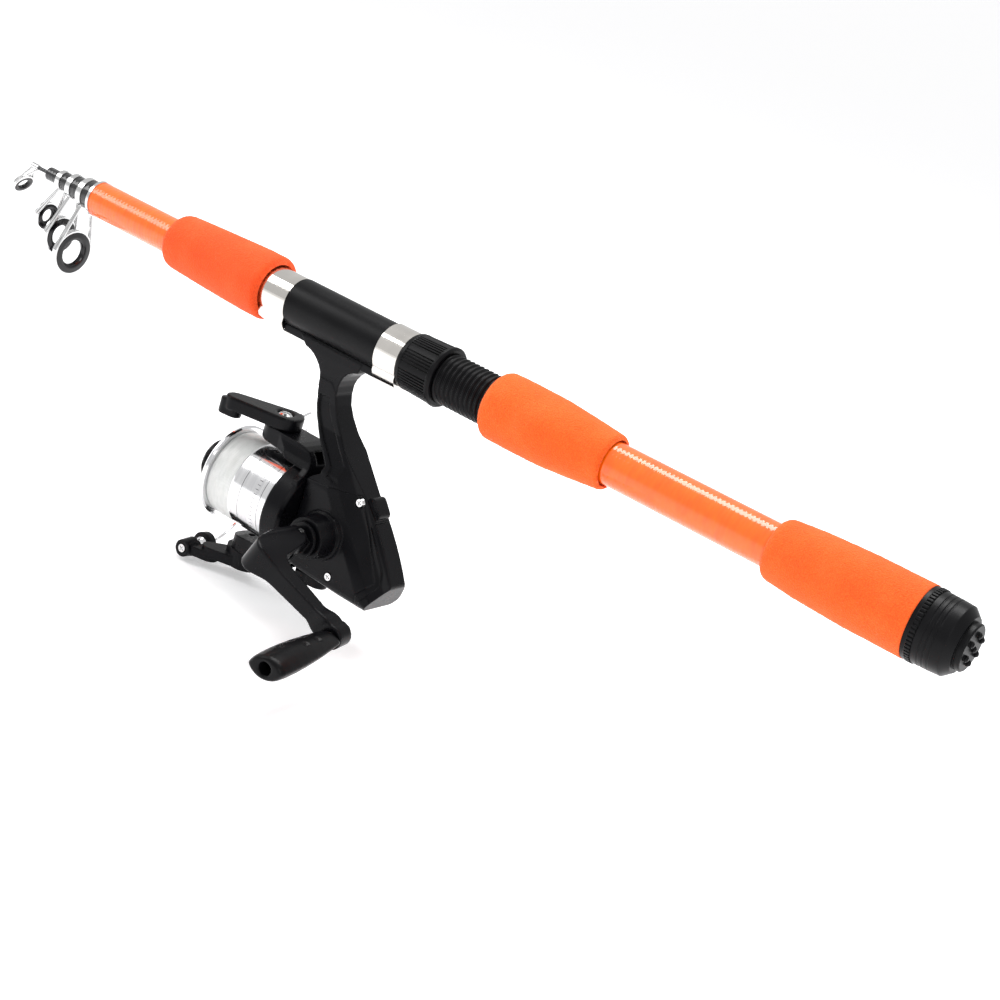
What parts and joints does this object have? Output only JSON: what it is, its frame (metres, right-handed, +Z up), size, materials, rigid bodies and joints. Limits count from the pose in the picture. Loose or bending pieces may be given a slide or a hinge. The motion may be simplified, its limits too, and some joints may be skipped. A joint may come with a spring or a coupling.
{
  "type": "fishing rod and reel",
  "caption": "Collapsed telescopic spinning rod with foam grips, screw reel seat, folding line guides and a spinning reel with a bail and a folding crank handle.",
  "frame": {"origin": "on the rod's axis at the butt end of the rear foam grip, where the butt cap starts", "axes": "+X along the rod toward the butt, +Z up, away from the reel that hangs below, -Y toward the handle's side"},
  "size_m": [0.5204, 0.1328, 0.1462],
  "materials": {
    "orange_blank": "clear-coated orange wound blank",
    "black_gloss": "clear-coated black blank",
    "guide_steel": "bright stamped and drawn steel",
    "guide_liner": "polished dark ceramic liner",
    "foam": "closed-cell EVA foam with fine pores",
    "black_plastic": "satin moulded plastic",
    "hood_chrome": "bright plated hood",
    "reel_black": "satin moulded graphite plastic",
    "knob_rubber": "soft satin moulding",
    "screw_steel": "bright steel",
    "gear_brass": "machined brass",
    "white_plastic": "plain acetal",
    "spool_silver": "metallised silver",
    "line_white": "wound monofilament",
    "drag_felt": "felt and fibre washers"
  },
  "bodies": {
    "rod": {"blank": "orange_blank", "blank_ring": "guide_steel", "front_grip": "foam", "middle_grip": "foam", "rear_grip": "foam", "cap_ring": "black_plastic", "butt_cap": "black_plastic", "reel_seat": "black_plastic", "front_hood": "hood_chrome", "reel_frame": "reel_black", "side_cover": "reel_black", "tail_cover": "reel_black", "cover_screws": "screw_steel", "main_bearing": "screw_steel", "gear_bushing": "gear_brass", "guide_rod": "screw_steel"},
    "section_5_body": {"section_5": "black_gloss", "guide_5_frame": "guide_steel", "guide_5_ring": "guide_liner"},
    "section_4_body": {"section_4": "black_gloss", "guide_4_frame": "guide_steel", "guide_4_ring": "guide_liner"},
    "section_3_body": {"section_3": "black_gloss", "guide_3_frame": "guide_steel", "guide_3_ring": "guide_liner"},
    "section_2_body": {"section_2": "black_gloss"},
    "tip_body": {"tip_section": "black_gloss", "tip_top_frame": "guide_steel", "tip_top_ring": "guide_liner"},
    "hood": {"rear_hood": "hood_chrome"},
    "nut": {"lock_nut": "black_plastic"},
    "crank": {"handle_shank": "reel_black", "drive_gear": "gear_brass", "fold_pin": "screw_steel"},
    "arm": {"handle_arm": "reel_black", "knob_spindle": "screw_steel"},
    "knob": {"handle_knob": "knob_rubber"},
    "rotor_body": {"pinion": "gear_brass", "rotor": "reel_black", "rotor_nut": "screw_steel", "bail_screws": "screw_steel"},
    "bail": {"bail_lever": "reel_black", "line_arm": "reel_black", "bail_wire": "screw_steel", "roller_cone": "reel_black", "roller_screw": "screw_steel"},
    "roller": {"line_roller": "screw_steel"},
    "spool_shaft": {"main_shaft": "screw_steel", "oscillation_block": "white_plastic"},
    "spool_body": {"spool": "spool_silver", "wound_line": "line_white", "drag_washers": "drag_felt"},
    "drag": {"drag_knob": "reel_black"},
    "anti_reverse": {"anti_reverse_lever": "reel_black"}
  },
  "joints": [
    {"name": "section_5_slide", "type": "slide", "parent": "rod", "child": "section_5_body", "axis": [1, 0, 0], "range_m": [-0.33, 0]},
    {"name": "section_4_slide", "type": "slide", "parent": "section_5_body", "child": "section_4_body", "axis": [1, 0, 0], "range_m": [-0.33, 0]},
    {"name": "section_3_slide", "type": "slide", "parent": "section_4_body", "child": "section_3_body", "axis": [1, 0, 0], "range_m": [-0.33, 0]},
    {"name": "section_2_slide", "type": "slide", "parent": "section_3_body", "child": "section_2_body", "axis": [1, 0, 0], "range_m": [-0.33, 0]},
    {"name": "tip_slide", "type": "slide", "parent": "section_2_body", "child": "tip_body", "axis": [1, 0, 0], "range_m": [-0.33, 0]},
    {"name": "hood_slide", "type": "slide", "parent": "rod", "child": "hood", "axis": [1, 0, 0], "range_m": [0, 0.016]},
    {"name": "nut_turn", "type": "hinge", "parent": "hood", "child": "nut", "pos_m": [-0.235, 0, 0], "axis": [1, 0, 0], "range_deg": [-10, 2314]},
    {"name": "crank_turn", "type": "hinge", "parent": "rod", "child": "crank", "pos_m": [-0.256, 0, -0.086], "axis": [0, 1, 0], "continuous": true},
    {"name": "rotor_spin", "type": "hinge", "parent": "rod", "child": "rotor_body", "pos_m": [-0.276, 0, -0.086], "axis": [1, 0, 0], "continuous": true},
    {"name": "handle_fold", "type": "hinge", "parent": "crank", "child": "arm", "pos_m": [-0.256, -0.0315, -0.086], "axis": [0.4067, 0, 0.9135], "range_deg": [-90, 0]},
    {"name": "knob_spin", "type": "hinge", "parent": "arm", "child": "knob", "pos_m": [-0.21069, -0.051, -0.10617], "axis": [-0.1192, 0.9914, 0.0531], "continuous": true},
    {"name": "bail_swing", "type": "hinge", "parent": "rotor_body", "child": "bail", "pos_m": [-0.302, 0, -0.086], "axis": [0, 0, 1], "range_deg": [0, 110]},
    {"name": "roller_spin", "type": "hinge", "parent": "bail", "child": "roller", "pos_m": [-0.3256, -0.007, -0.1254], "axis": [0, 1, 0], "continuous": true},
    {"name": "spool_slide", "type": "slide", "parent": "rod", "child": "spool_shaft", "axis": [1, 0, 0], "range_m": [-0.006, 0.003]},
    {"name": "spool_spin", "type": "hinge", "parent": "spool_shaft", "child": "spool_body", "pos_m": [-0.312, 0, -0.086], "axis": [1, 0, 0], "continuous": true},
    {"name": "drag_turn", "type": "hinge", "parent": "spool_shaft", "child": "drag", "pos_m": [-0.326, 0, -0.086], "axis": [1, 0, 0], "range_deg": [0, 720]},
    {"name": "anti_reverse_switch", "type": "hinge", "parent": "rod", "child": "anti_reverse", "pos_m": [-0.266, 0, -0.1026], "axis": [1, 0, 0], "range_deg": [-20, 20]}
  ],
  "couplings": [
    {"joint": "rotor_spin", "follows": "crank_turn", "ratio": -3.75},
    {"joint": "nut_turn", "follows": "hood_slide", "rad_per_m": 2513.3}
  ]
}
